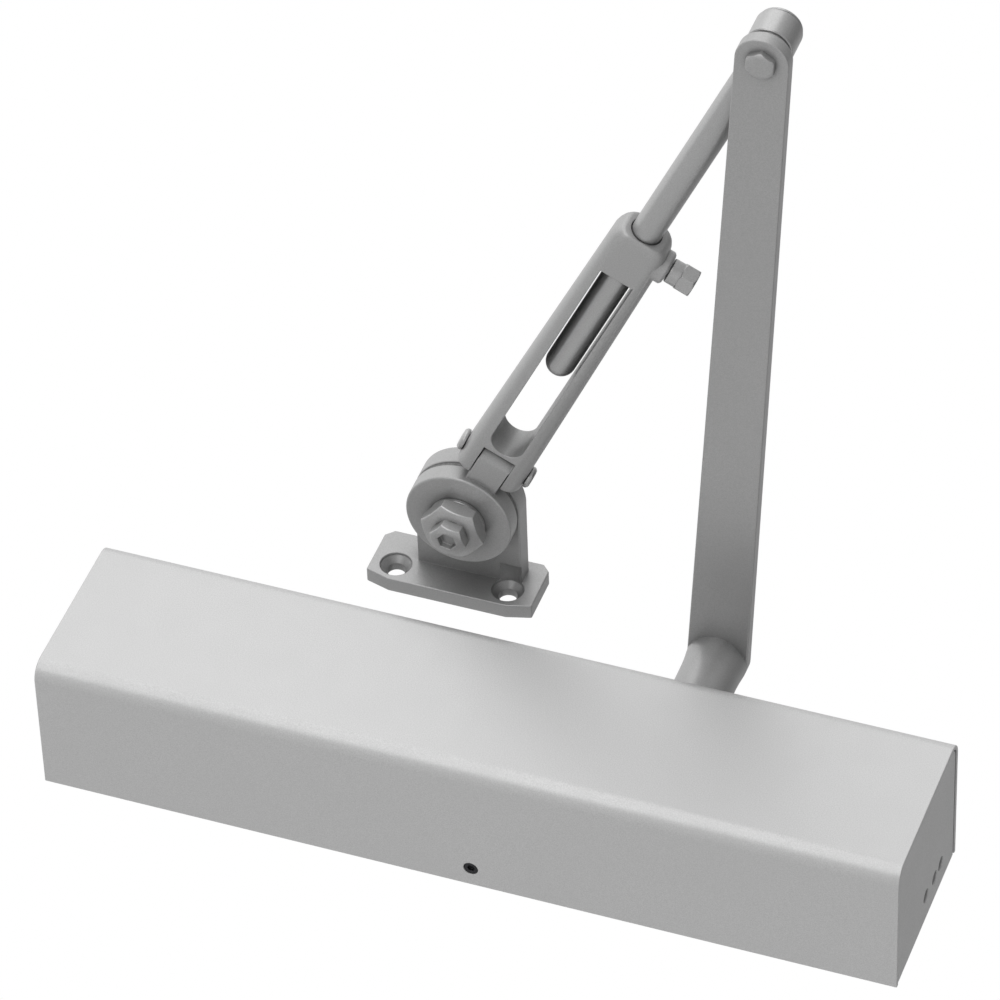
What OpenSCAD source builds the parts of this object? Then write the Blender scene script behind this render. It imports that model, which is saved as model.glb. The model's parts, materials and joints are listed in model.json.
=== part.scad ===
// Surface door closer with a regular arm, an adjustable forearm and a friction hold-open shoe.
// X runs along the door, Z is up along the pinion, and the door face is the plane Y = 0.
// The closer stands out from the door towards -Y. The origin is the middle of its four screws.

/* [Cover] */
// Length of the cover along the door
cover_l = 311; // [308:1:330]
// Height of the cover
cover_h = 67.5; // [67:0.5:76]
// How far the cover stands out from the door
cover_d = 55; // [54:0.5:60]
// Radius of its two long outer bends
cover_r = 6.5; // [4:0.5:8]
// Sheet thickness
sheet_t = 1.6; // [1.2:0.1:1.8]

/* [Closer body] */
// Pinion axis, measured from the middle of the cover
pinion_x = 57; // [50:1:60]
// Distance from the door face to the pinion and barrel axes
axis_out = 27; // [27:0.5:28]
// Radius of the piston bore
bore_r = 17.5; // [17.5:0.5:18]
// Outer radius of the barrel
barrel_r = 22; // [22:0.5:23]
// Mounting screw spacing along the door
screw_dx = 276; // [274:1:280]
// Mounting screw spacing up the door
screw_dz = 19; // [17:1:22]
// Mounting hole diameter
screw_hole_d = 6.6; // [6:0.1:7]

/* [Gear and spring] */
// Pitch radius of the pinion
pitch_r = 9; // [9:0.1:9.2]
// Number of pinion teeth
teeth = 12; // [12:1:12]
// Mean radius of the spring coil
spring_r = 12.4; // [11.5:0.1:12.6]
// Diameter of the spring wire
wire_d = 4.8; // [4:0.1:5]

/* [Arm] */
// Main arm length between its pivots
main_arm_l = 273; // [240:1:300]
// Lean of the main arm from straight out, in degrees
main_arm_lean = 3.5; // [0:0.1:10]
// Main arm thickness
bar_t = 5; // [4.5:0.1:6]
// Forearm length between its pivots
forearm_l = 260; // [250:1:275]
// Lean of the forearm from straight out, in degrees
forearm_lean = 25.5; // [24:0.1:35]
// Diameter of the forearm rod
rod_d = 10.7; // [10:0.1:11]

/* [Shoe] */
// Radius of the hold-open discs
disc_r = 19.5; // [19:0.5:19.5]
// Length of the shoe plate
plate_l = 62; // [60:1:66]
// Width of the shoe plate
plate_w = 24; // [24:1:26]
// Spacing of the two screw holes in the plate
plate_dx = 42; // [40:1:43]

/* [Hidden] */

// Fits and gaps
running = 0.05;
gap = 0.3;
turn = 96;

// Body lengths along X
barrel_x0 = -124;
barrel_x1 = 128;
bore_x1 = 114;
foot_l = 22;
foot_t = 7;
web_h = 40;
web_d = 14;

// Heights above the pinion middle plane
gear_half = 9;
bearing_z = 17.8;
bearing_h = 5;
seal_z = bearing_z + bearing_h + 0.2;
seal_h = 1.9;
cap_z = seal_z + seal_h + 0.1;
boss_z = 28;
boss_r = 17.5;
bearing_bore_r = 12;
cap_bore_r = 14.5;
shaft_r = 8;
square_af = 11.1;

// Rack and pinion
gear_module = 2 * pitch_r / teeth;
pressure_angle = 25;
addendum = 0.8 * gear_module;
dedendum = 1.1 * gear_module;
backlash = 0.2;
arm_swing = 150;
piston_travel = pitch_r * arm_swing * PI / 180;
rack_teeth = 8;

// Piston along X, and the spring behind it
piston_x0 = 14;
piston_x1 = 112;
window_x0 = pinion_x - 12.5;
window_x1 = pinion_x + 12.5 + ceil(piston_travel);
seat_x = -104;
seat_t = 6;
spring_turns = 10;

// Valves in the right end wall: each one's place is [Y, Z]
closing_at = [-11, 0];
latching_at = [-10, 10];
backcheck_at = [-10, 17];
valve_r = 2.5;

// Cover details
cover_screw_x = 3;
cover_screw_out = 7.7;
pinion_slot_w = 26;

// Heights of the arm parts
hub_z0 = 36;
bar_z0 = 70.25;
bar_z1 = bar_z0 + bar_t;
hub_r = 11;
hub_taper = 0.6;
hub_taper_h = 8;
elbow_r = 9.2;
elbow_shaft_r = 4;
elbow_head_h = 2.8;
elbow_cap_t = 1.2;
knuckle_r = 8.1;
knuckle_z0 = bar_z1 + gap;
knuckle_z1 = knuckle_z0 + 13.4;
rod_r = rod_d / 2;
rod_z = knuckle_z0 + 5.5;

// Forearm places, measured along it from the shoe pivot
rod_s0 = 80;
socket_s0 = 22;
socket_s1 = 159;
slot_s0 = 38;
slot_s1 = 139;
slot_w = 12.4;
socket_w0 = 24.6;
socket_w1 = 20.6;
socket_h = 14.4;
pin_s = 27.5;
pin_r = 2.5;
clamp_s = 149;
clamp_r = 3;
clamp_head_r = 5.4;
clamp_head_h = 5.6;
clamp_collar_r = 4.4;
clamp_collar_h = 4;
notch_s = 36.4;
tab_w = 11.8;
tab_end = 7.6;

// Hold-open stack, by height
disc_z0 = 71.75;
disc_t = 7.2;
friction_t = 1.6;
shoe_z0 = disc_z0 + disc_t + friction_t;
shoe_t = 8;
bolt_r = 6;
plate_z0 = 68.5;
plate_t = 6;
plate_shift = -4.4;
plate_hole_z = 76.4;
plate_hole_r = 3.4;
plate_sunk_r = 5.6;
plate_hole_shift = -5.2;
shoe_drop = 39;
plate_cut = [9, 2.5];
plate_trim = 3;
washer_r = 10.3;

// Pivots on plan
pinion_at = [pinion_x, -axis_out];
elbow_at = pinion_at + main_arm_l * [sin(main_arm_lean), -cos(main_arm_lean)];
shoe_at = elbow_at + forearm_l * [-sin(forearm_lean), cos(forearm_lean)];

// ---------------------------------------------------------------- helpers

// Puts children where local X follows the given plan direction from a pivot
module along(place, lean) {
    translate([place[0], place[1], 0]) rotate([0, 0, lean - 90]) children();
}

// A round bar along +X
module rod_x(r, x0, x1) {
    translate([x0, 0, 0]) rotate([0, 90, 0]) cylinder(r = r, h = x1 - x0, $fn = turn);
}

// A round bar along +X on the barrel axis
module barrel_bar(r, x0, x1) {
    translate([0, -axis_out, 0]) rod_x(r, x0, x1);
}

// A round bar up Z at a plan place
module post(r, z0, z1, place = [0, 0]) {
    translate([place[0], place[1], z0]) cylinder(r = r, h = z1 - z0, $fn = turn);
}

// A ring up Z at a plan place
module ring(outer, inner, z0, z1, place = [0, 0]) {
    difference() {
        post(outer, z0, z1, place);
        post(inner, z0 - 1, z1 + 1, place);
    }
}

// A hexagon up Z, given across its flats
module hex(across, z0, z1) {
    translate([0, 0, z0]) cylinder(r = across / sqrt(3), h = z1 - z0, $fn = 6);
}

// Turns a piece over to the lower side
module lower_side() {
    mirror([0, 0, 1]) children();
}

// ---------------------------------------------------------------- closer body

module valve_bores() {
    for (place = [closing_at, latching_at, backcheck_at])
        translate([0, place[0], place[1]]) rod_x(valve_r + running, barrel_x1 - 11, barrel_x1 + 1);
}

module body_casting() {
    foot_x = screw_dx / 2;
    color("slategray") difference() {
        union() {
            barrel_bar(barrel_r, barrel_x0, barrel_x1);
            post(boss_r, -boss_z, boss_z, pinion_at);
            translate([barrel_x0, -web_d, -web_h / 2]) cube([barrel_x1 - barrel_x0, web_d, web_h]);
            translate([-foot_x - 11, -foot_t, -web_h / 2]) cube([2 * foot_x + foot_l, foot_t, web_h]);
            translate([cover_screw_x - 8, -13, -cover_h / 2 + sheet_t + 0.2])
                cube([16, 13, cover_h - 2 * sheet_t - 0.4]);
        }
        barrel_bar(bore_r, barrel_x0 - 1, bore_x1);
        for (side = [0, 1]) mirror([0, 0, side]) {
            post(bearing_bore_r, 12, boss_z, pinion_at);
            post(cap_bore_r, cap_z, boss_z + 1, pinion_at);
        }
        for (x = [-foot_x, foot_x], z = [-screw_dz / 2, screw_dz / 2])
            translate([x, 1, z]) rotate([90, 0, 0]) cylinder(d = screw_hole_d, h = foot_t + 2, $fn = 48);
        for (side = [0, 1]) mirror([0, 0, side])
            post(2 + running, 24, cover_h / 2, [cover_screw_x, -cover_screw_out]);
        valve_bores();
    }
}

module end_plug() {
    color("dimgray") difference() {
        union() {
            barrel_bar(bore_r - 0.02, barrel_x0, barrel_x0 + 10);
            translate([barrel_x0 - 4, -axis_out, 0]) rotate([0, 90, 0])
                cylinder(r = 20, h = 4, $fn = 6);
        }
        barrel_bar(4 + running, barrel_x0 - 5, barrel_x0 + 11);
    }
}

module spring_seat() {
    color("darkgray") difference() {
        union() {
            barrel_bar(bore_r - running, seat_x - seat_t, seat_x);
            barrel_bar(9.4, seat_x - 1, seat_x + 8);
        }
        barrel_bar(4 + running, seat_x - seat_t - 1, seat_x + 9);
    }
}

module adjusting_screw() {
    color("silver") difference() {
        union() {
            barrel_bar(4, barrel_x0 - 9, seat_x + 6);
            barrel_bar(6, barrel_x0 - 10, barrel_x0 - 4.3);
        }
        translate([barrel_x0 - 11, -axis_out, 0]) rotate([0, 90, 0])
            cylinder(r = 3.2, h = 4.5, $fn = 6);
    }
}

// The coil's centre line: the end turns are closed and the others are evenly spaced
function coil_x(t) = let (
        length = piston_x0 - seat_x,
        closed = wire_d * 0.52,
        middle = length - 2 * closed - 2 * wire_d,
        turns = spring_turns - 2
    )
    seat_x + closed + 0.1 + (t < 1 ? t * wire_d
        : t > spring_turns - 1 ? wire_d + middle - 0.2 + (t - spring_turns + 1) * wire_d
        : wire_d + (middle - 0.2) * (t - 1) / turns);

module spring() {
    steps = 14;
    sides = 6;
    last = spring_turns * steps;
    points = [for (i = [0:last], k = [0:sides - 1]) let (
        a = 360 * i / steps,
        b = 360 * k / sides,
        r = spring_r + wire_d / 2 * cos(b)
    ) [coil_x(i / steps) + wire_d / 2 * sin(b), r * cos(a) - axis_out, r * sin(a)]];
    walls = [for (i = [0:last - 1], k = [0:sides - 1]) let (
        k2 = (k + 1) % sides,
        p = i * sides
    ) [p + k, p + k2, p + sides + k2, p + sides + k]];
    first_end = [for (k = [sides - 1:-1:0]) k];
    last_end = [for (k = [0:sides - 1]) last * sides + k];
    color("steelblue") polyhedron(points, concat([first_end, last_end], walls), convexity = 10);
}

module bearing() {
    color("gainsboro") ring(bearing_bore_r, shaft_r + running, bearing_z, bearing_z + bearing_h, pinion_at);
}

module shaft_seal() {
    color("black") ring(bearing_bore_r, shaft_r + running, seal_z, seal_z + seal_h, pinion_at);
}

module bearing_cap() {
    color("gray") difference() {
        union() {
            post(cap_bore_r, cap_z, boss_z, pinion_at);
            post(16, boss_z, boss_z + 2, pinion_at);
        }
        post(shaft_r + 0.5, cap_z - 1, boss_z + 3, pinion_at);
        for (a = [0, 90, 180, 270])
            translate([pinion_at[0], pinion_at[1], 0]) rotate([0, 0, a + 45])
                post(1.6, boss_z - 1, boss_z + 3, [12.2, 0]);
    }
}

module upper_bearing() bearing();
module lower_bearing() lower_side() bearing();
module upper_seal() shaft_seal();
module lower_seal() lower_side() shaft_seal();
module upper_bearing_cap() bearing_cap();
module lower_bearing_cap() lower_side() bearing_cap();

module valve(place, head) {
    color("goldenrod") translate([0, place[0], place[1]]) difference() {
        rod_x(valve_r, barrel_x1 - 9, barrel_x1 + head);
        translate([barrel_x1 + head - 1, -0.5, -valve_r - 1]) cube([2, 1, 2 * valve_r + 2]);
    }
}

module closing_valve() valve(closing_at, 1.5);
module latching_valve() valve(latching_at, 1.5);
module backcheck_valve() valve(backcheck_at, 1.5);

// ---------------------------------------------------------------- gear train

function polar(r, a) = [r * cos(a), r * sin(a)];

// Angle that an involute has turned through where it reaches radius r
function involute(r, base) = let (t = sqrt(max(0, pow(r / base, 2) - 1))) t * 180 / PI - atan(t);

module pinion_teeth_outline() {
    base = pitch_r * cos(pressure_angle);
    tip = pitch_r + addendum;
    root = pitch_r - dedendum;
    half_tooth = 90 / teeth - backlash / 2 / pitch_r * 180 / PI;
    steps = 4;
    flank = [for (i = [0:steps]) let (r = base + (tip - base) * i / steps)
        [r, half_tooth + involute(pitch_r, base) - involute(r, base)]];
    tooth = concat(
        [polar(root - 1, -flank[0][1]), polar(base, -flank[0][1])],
        [for (i = [1:steps]) polar(flank[i][0], -flank[i][1])],
        [for (i = [steps:-1:1]) polar(flank[i][0], flank[i][1])],
        [polar(base, flank[0][1]), polar(root - 1, flank[0][1])]
    );
    circle(r = root, $fn = turn);
    for (i = [0:teeth - 1]) rotate(-90 + 360 * i / teeth) polygon(tooth);
}

module pinion() {
    color("lightsteelblue") translate([pinion_at[0], pinion_at[1], 0]) {
        translate([0, 0, -gear_half]) linear_extrude(2 * gear_half) pinion_teeth_outline();
        difference() {
            union() {
                post(shaft_r, gear_half, boss_z + 2.5);
                post(shaft_r, -boss_z - 2, -gear_half);
                intersection() {
                    post(shaft_r - 0.5, boss_z + 2, 64);
                    rotate([0, 0, main_arm_lean]) translate([-square_af / 2, -square_af / 2, boss_z + 2])
                        cube([square_af, square_af, 64 - boss_z - 2]);
                }
            }
            post(3.05, 50, 65);
        }
    }
}

// One gap of the rack, cut into the wall on the far side of its tip line
module rack_gap() {
    half = gear_module * PI / 4 + backlash / 2;
    slope = tan(pressure_angle);
    polygon([
        [-half - (addendum + 1) * slope, addendum + 1], [-half + dedendum * slope, -dedendum],
        [half - dedendum * slope, -dedendum], [half + (addendum + 1) * slope, addendum + 1]
    ]);
}

module piston() {
    rack_y = -axis_out - pitch_r;
    tip_y = rack_y + addendum;
    relief = 3.4;
    color("darkkhaki") difference() {
        barrel_bar(bore_r - 0.08, piston_x0, piston_x1);
        translate([window_x0, tip_y, -bore_r]) cube([window_x1 - window_x0, 20.5, 2 * bore_r]);
        for (side = [0, 1]) mirror([0, 0, side])
            translate([window_x0, tip_y - relief, gear_half - 0.2])
                cube([window_x1 - window_x0, 20.5, bore_r]);
        for (i = [-2:rack_teeth]) translate([pinion_x + i * gear_module * PI, rack_y, -gear_half - 1])
            linear_extrude(2 * gear_half + 2) rack_gap();
        for (x = [piston_x0 + 10, piston_x1 - 10]) difference() {
            barrel_bar(bore_r + 1, x, x + 2.4);
            barrel_bar(bore_r - 2.4, x - 1, x + 4);
        }
        barrel_bar(5, piston_x0 + 6, window_x0 + 1);
        barrel_bar(2, piston_x0 - 1, piston_x0 + 7);
    }
}

module piston_seals() {
    color("black") for (x = [piston_x0 + 10, piston_x1 - 10]) difference() {
        barrel_bar(bore_r - running, x + 0.1, x + 2.3);
        barrel_bar(bore_r - 2.4, x - 1, x + 4);
    }
}

module check_valve() {
    color("gold") translate([0, -axis_out, 0]) {
        translate([piston_x0 + 10.5, 0, 0]) sphere(r = 3.2, $fn = turn);
        difference() {
            rod_x(5, piston_x0 + 14, piston_x0 + 20);
            rod_x(2.2, piston_x0 + 13, piston_x0 + 21);
        }
    }
}

// ---------------------------------------------------------------- cover

// Outline across the cover: straight sides from the door face, two rounded outer corners
module cover_outline(depth, height, r) {
    translate([-depth + r, -height / 2]) square([depth - r, height]);
    translate([-depth, -height / 2 + r]) square([r, height - 2 * r]);
    for (z = [-height / 2 + r, height / 2 - r])
        translate([-depth + r, z]) circle(r = r, $fn = turn);
}

// Sweeps a Y-Z outline along X
module sweep_x(x0, x1) {
    translate([x0, 0, 0]) rotate([90, 0, 90]) linear_extrude(x1 - x0) children();
}

module cover() {
    color("silver") difference() {
        sweep_x(-cover_l / 2, cover_l / 2) difference() {
            cover_outline(cover_d, cover_h, cover_r);
            translate([1, 0])
                cover_outline(cover_d - sheet_t + 1, cover_h - 2 * sheet_t, cover_r - sheet_t);
        }
        translate([pinion_x - pinion_slot_w / 2, -axis_out, cover_h / 2 - 4])
            cube([pinion_slot_w, axis_out + 1, 8]);
        post(pinion_slot_w / 2, cover_h / 2 - 4, cover_h / 2 + 4, pinion_at);
        post(2.6, -cover_h, cover_h, [cover_screw_x, -cover_screw_out]);
    }
}

module cover_end() {
    inset = sheet_t + 0.12;
    sweep_x(cover_l / 2 - 2, cover_l / 2 - 0.3)
        cover_outline(cover_d - inset, cover_h - 2 * inset, cover_r - sheet_t);
}

module left_cover_end() {
    color("silver") mirror([1, 0, 0]) cover_end();
}

module right_cover_end() {
    color("silver") difference() {
        cover_end();
        for (place = [closing_at, latching_at, backcheck_at])
            translate([0, place[0], place[1]]) rod_x(2.6, cover_l / 2 - 4, cover_l / 2 + 1);
    }
}

// Two small socket screws, one from each long side
module cover_screws() {
    color("dimgray") for (side = [0, 1]) mirror([0, 0, side])
        translate([cover_screw_x, -cover_screw_out, 0]) difference() {
            union() {
                post(2, 24.5, cover_h / 2 - 1);
                post(2.5, cover_h / 2 - sheet_t - 0.1, cover_h / 2 - 0.4);
            }
            hex(2.5, cover_h / 2 - 1.4, cover_h / 2);
        }
}

// ---------------------------------------------------------------- main arm

module main_arm() {
    color("gray") along(pinion_at, main_arm_lean) difference() {
        union() {
            translate([0, 0, bar_z0]) linear_extrude(bar_t) {
                circle(r = hub_r, $fn = turn);
                translate([main_arm_l, 0]) circle(r = elbow_r, $fn = turn);
                polygon([[0, -hub_r], [main_arm_l, -elbow_r], [main_arm_l, elbow_r], [0, hub_r]]);
            }
            post(hub_r - hub_taper, hub_z0, bar_z0);
            translate([0, 0, bar_z0 - hub_taper_h])
                cylinder(r1 = hub_r - hub_taper, r2 = hub_r, h = hub_taper_h, $fn = turn);
            post(hub_r, bar_z0, bar_z0 + 1);
        }
        translate([-5.7, -5.7, hub_z0 - 1]) cube([11.4, 11.4, 29.5]);
        post(3.4, hub_z0, bar_z1 + 1);
        post(elbow_shaft_r + running, bar_z0 - 1, bar_z1 + 1, [main_arm_l, 0]);
    }
}

module arm_screw() {
    color("dimgray") translate([pinion_at[0], pinion_at[1], 0]) difference() {
        union() {
            post(3, 52, bar_z1 + 2);
            hex(10, bar_z1 + 1.6, bar_z1 + 6.2);
        }
        hex(5, bar_z1 + 4.2, bar_z1 + 7);
    }
}

module arm_washer() {
    color("dimgray") ring(7.5, 3.2, bar_z1, bar_z1 + 1.6, pinion_at);
}

module elbow_bolt() {
    color("gray") along(pinion_at, main_arm_lean) translate([main_arm_l, 0, 0]) {
        hex(9.5, bar_z0 - elbow_head_h, bar_z0);
        post(elbow_shaft_r, bar_z0 - 1, knuckle_z1 + gap + 0.5);
    }
}

module elbow_cap() {
    z0 = knuckle_z1 + gap;
    color("gray") difference() {
        post(knuckle_r - 0.5, z0, z0 + elbow_cap_t, elbow_at);
        post(elbow_shaft_r, z0 - 1, z0 + 0.6, elbow_at);
    }
}

// ---------------------------------------------------------------- forearm

module forearm_rod() {
    color("gray") along(shoe_at, forearm_lean) difference() {
        union() {
            translate([0, 0, rod_z]) {
                rod_x(rod_r, rod_s0 + rod_r, forearm_l);
                translate([rod_s0 + rod_r, 0, 0]) sphere(r = rod_r, $fn = turn);
            }
            post(knuckle_r, knuckle_z0, knuckle_z1, [forearm_l, 0]);
        }
        post(elbow_shaft_r + running, 0, 200, [forearm_l, 0]);
    }
}

// Outline across the socket at a given width
module socket_outline(w, h, r) {
    square([w - 2 * r, h], center = true);
    square([w, h - 2 * r], center = true);
    for (x = [-w / 2 + r, w / 2 - r], y = [-h / 2 + r, h / 2 - r])
        translate([x, y]) circle(r = r, $fn = 32);
}

module forearm_socket() {
    color("gray") along(shoe_at, forearm_lean) translate([0, 0, rod_z]) difference() {
        union() {
            hull() {
                translate([socket_s0, 0, 0]) rotate([90, 0, 90]) linear_extrude(0.1)
                    socket_outline(socket_w0, socket_h, 5);
                translate([socket_s1 - 0.1, 0, 0]) rotate([90, 0, 90]) linear_extrude(0.1)
                    socket_outline(socket_w1, socket_h, 5);
            }
            translate([clamp_s, 0, 0]) rotate([-90, 0, 0]) cylinder(r = 6, h = 13, $fn = turn);
        }
        rod_x(rod_r + 0.1, slot_s0 + 30, socket_s1 + 1);
        translate([slot_s0 + slot_w / 2, -slot_w / 2, -socket_h])
            cube([slot_s1 - slot_s0 - slot_w / 2, slot_w, 2 * socket_h]);
        post(slot_w / 2, -socket_h, socket_h, [slot_s0 + slot_w / 2, 0]);
        translate([0, -slot_w / 2, -socket_h]) cube([notch_s, slot_w, 2 * socket_h]);
        translate([pin_s, 0, 0]) rotate([90, 0, 0])
            cylinder(r = pin_r, h = 2 * socket_w0, center = true, $fn = 48);
        translate([clamp_s, 0, 0]) rotate([-90, 0, 0])
            cylinder(r = clamp_r + running, h = 20, $fn = 48);
    }
}

// Pin through the fork and the tab, with a formed head at each end
module tilt_pin() {
    color("gray") along(shoe_at, forearm_lean) translate([pin_s, 0, rod_z]) rotate([90, 0, 0]) {
        cylinder(r = pin_r, h = socket_w0 + 1, center = true, $fn = 48);
        for (side = [0, 1]) mirror([0, 0, side])
            translate([0, 0, socket_w0 / 2 + 0.05]) cylinder(r = 4, h = 2, $fn = 48);
    }
}

module clamp_screw() {
    color("gray") along(shoe_at, forearm_lean) translate([clamp_s, 0, rod_z]) rotate([-90, 0, 0]) {
        translate([0, 0, rod_r + 0.15]) cylinder(r = clamp_r, h = 12.5, $fn = 48);
        translate([0, 0, rod_r + 12 - clamp_collar_h])
            cylinder(r = clamp_collar_r, h = clamp_collar_h, $fn = 48);
        translate([0, 0, rod_r + 12]) rotate([0, 0, 15])
            cylinder(r = clamp_head_r, h = clamp_head_h, $fn = 6);
    }
}

// ---------------------------------------------------------------- hold-open shoe

module hold_open_knuckle() {
    tab_z0 = rod_z - socket_h / 2;
    color("gray") along(shoe_at, forearm_lean) difference() {
        union() {
            post(disc_r, disc_z0, disc_z0 + disc_t);
            translate([0, -tab_w / 2, tab_z0]) cube([pin_s, tab_w, disc_z0 + disc_t - tab_z0]);
            intersection() {
                translate([disc_r + 1, -tab_w / 2, tab_z0]) cube([30, tab_w, socket_h]);
                translate([pin_s, 0, rod_z]) rotate([90, 0, 0])
                    cylinder(r = tab_end, h = tab_w, center = true, $fn = turn);
            }
            translate([disc_r + 1, -tab_w / 2, tab_z0]) cube([pin_s - disc_r - 1, tab_w, socket_h]);
        }
        post(bolt_r + running, disc_z0 - 1, disc_z0 + disc_t + 1);
        translate([pin_s, 0, rod_z]) rotate([90, 0, 0])
            cylinder(r = pin_r + running, h = 40, center = true, $fn = 48);
    }
}

module knuckle_washer() {
    color("gray") ring(washer_r, bolt_r + running, disc_z0 - 1.7, disc_z0 - 0.1, shoe_at);
}

module friction_disc() {
    color("dimgray")
        ring(disc_r - 0.5, bolt_r + running, disc_z0 + disc_t + 0.1, shoe_z0, shoe_at);
}

module tension_nut() {
    color("gray") translate([shoe_at[0], shoe_at[1], 0]) rotate([0, 0, 12]) difference() {
        hex(20.6, disc_z0 - 7.4, disc_z0 - 1.75);
        post(bolt_r, disc_z0 - 9, disc_z0);
    }
}

module pivot_bolt() {
    color("gray") translate([shoe_at[0], shoe_at[1], 0]) difference() {
        union() {
            post(bolt_r, disc_z0 - 9, shoe_z0 + shoe_t);
            rotate([0, 0, 12]) hex(12, disc_z0 - 11.6, disc_z0 - 7.4);
            hex(17, shoe_z0 + shoe_t, shoe_z0 + shoe_t + 5);
        }
        hex(6, disc_z0 - 12, disc_z0 - 9.4);
    }
}

module shoe_plate() {
    x0 = plate_shift - plate_l / 2;
    x1 = plate_shift + plate_l / 2;
    z1 = plate_z0 + plate_w;
    translate([0, shoe_drop, 0]) rotate([90, 0, 0]) linear_extrude(plate_t) polygon([
        [x0, plate_z0 + plate_cut[1]], [x0 + plate_cut[0], plate_z0],
        [x1 - plate_cut[0], plate_z0], [x1, plate_z0 + plate_cut[1]],
        [x1, z1 - plate_trim], [x1 - plate_trim, z1], [x0 + plate_trim, z1], [x0, z1 - plate_trim]
    ]);
}

module shoe() {
    color("gray") translate([shoe_at[0], shoe_at[1], 0]) difference() {
        union() {
            post(disc_r, shoe_z0, shoe_z0 + shoe_t);
            translate([-disc_r, 0, shoe_z0]) cube([2 * disc_r, shoe_drop - 1, shoe_t]);
            shoe_plate();
        }
        post(bolt_r, shoe_z0 - 1, shoe_z0 + shoe_t + 1);
        for (side = [-1, 1])
            translate([plate_hole_shift + side * plate_dx / 2, shoe_drop + 1, plate_hole_z])
                rotate([90, 0, 0]) {
                    cylinder(r = plate_hole_r, h = 20, $fn = 48);
                    translate([0, 0, 1 + plate_t - 3])
                        cylinder(r1 = plate_hole_r, r2 = plate_sunk_r, h = 2.2, $fn = 48);
                    translate([0, 0, 1 + plate_t - 0.8]) cylinder(r = plate_sunk_r, h = 12, $fn = 48);
                }
    }
}

// ---------------------------------------------------------------- nodes

body_casting();
end_plug();
spring_seat();
adjusting_screw();
spring();
upper_bearing();
lower_bearing();
upper_seal();
lower_seal();
upper_bearing_cap();
lower_bearing_cap();
piston();
piston_seals();
check_valve();
closing_valve();
latching_valve();
backcheck_valve();
cover();
left_cover_end();
right_cover_end();
cover_screws();
pinion();
main_arm();
arm_screw();
arm_washer();
elbow_bolt();
elbow_cap();
forearm_rod();
forearm_socket();
clamp_screw();
tilt_pin();
hold_open_knuckle();
knuckle_washer();
friction_disc();
tension_nut();
pivot_bolt();
shoe();
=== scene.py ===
"""Looks for the surface door closer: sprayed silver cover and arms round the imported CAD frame.

The sizes of the parts are in millimetres, and add_piece turns them into metres. The camera, the lamps and
the floor are in metres from the start.
"""

import json
import math

import bmesh
import bpy
from mathutils import Matrix, Vector


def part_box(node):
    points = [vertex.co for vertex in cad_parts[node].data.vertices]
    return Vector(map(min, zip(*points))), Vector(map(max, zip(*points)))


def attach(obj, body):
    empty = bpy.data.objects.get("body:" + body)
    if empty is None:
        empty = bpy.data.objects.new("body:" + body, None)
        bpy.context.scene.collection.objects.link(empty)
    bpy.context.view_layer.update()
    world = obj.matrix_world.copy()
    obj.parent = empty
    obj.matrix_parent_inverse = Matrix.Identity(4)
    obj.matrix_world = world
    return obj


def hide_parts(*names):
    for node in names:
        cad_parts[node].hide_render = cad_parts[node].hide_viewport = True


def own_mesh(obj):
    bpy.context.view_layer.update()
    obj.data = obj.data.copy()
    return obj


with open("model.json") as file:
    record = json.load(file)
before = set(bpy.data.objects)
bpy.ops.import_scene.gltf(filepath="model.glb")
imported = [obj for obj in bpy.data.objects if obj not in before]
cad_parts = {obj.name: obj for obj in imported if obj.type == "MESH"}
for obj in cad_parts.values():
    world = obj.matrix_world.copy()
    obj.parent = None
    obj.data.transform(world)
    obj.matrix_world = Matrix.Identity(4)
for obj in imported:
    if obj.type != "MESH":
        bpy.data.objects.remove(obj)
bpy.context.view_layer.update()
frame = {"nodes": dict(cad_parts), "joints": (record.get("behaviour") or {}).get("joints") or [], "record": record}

MM = 0.001
# Sides of a large round part
ROUND = 96
# How far a cutter passes a face that it leaves flat
SPARE = 0.02
# How far a cutter reaches from the rod's line, to go right through the forearm
CUTTER_REACH = 20
# Room between a pin and the hole that turns on it
PIN_GAP = 0.05
# Points nearer than this become one after a cut
WELD = 0.004
# The angle between two faces from which their edge is eased, bevelled or shaded as sharp
EASED_FROM = math.radians(30)
BEVELLED_FROM = math.radians(42)
SHARP_FROM = math.radians(38)
JOINTS = {j["name"]: j for j in frame["joints"]}
NODES = frame["nodes"]

# Sheet metal of the cover
COVER_BEND = 6.5
SHEET = 1.6
END_SEAM = 0.4
COVER_HOLE_R = 2.6
VALVES = ("closing_valve", "latching_valve", "backcheck_valve")
SPINDLE_SLOT_R = 13.0

# Main arm and elbow
HUB_R = 11.0
HUB_NECK_R = HUB_R - 0.6
HUB_CONE_H = 8.0
SPINDLE_SQUARE = 11.4
SPINDLE_DEPTH = 28.5
ELBOW_R = 9.2
ELBOW_HEAD = 2.8
ELBOW_PIN_R = 4.0

# Forearm. Places along it are measured from the shoe pivot
KNUCKLE_R = 8.1
KNUCKLE_BELOW_ROD = 5.5
ROD_R = 5.35
ROD_START = 80.0
SOCKET_START = 22.0
SOCKET_END = 159.0
SOCKET_H = 14.4
SOCKET_START_W = 24.6
SOCKET_END_W = 20.6
SOCKET_SLOT_W = 12.4
TILT_PIN_AT = 27.5
TILT_PIN_R = 2.5
CLAMP_AT = 149.0
CLAMP_R = 3.0

# Shoe
DISC_R = 19.5
PIVOT_R = 6.0

# Camera: seen from the front, the right and well below the closer, as if it lay on its back
VIEW_AZIMUTH = 21.304
VIEW_ELEVATION = -42.825
VIEW_ROLL = 27.608
VIEW_DISTANCE = 2.232
VIEW_AIM = Vector((-0.01706, -0.09249, 0.05852))
LENS = 234.0
FLOOR_Z = -2.0
FLOOR_HALF = 15.0

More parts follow.
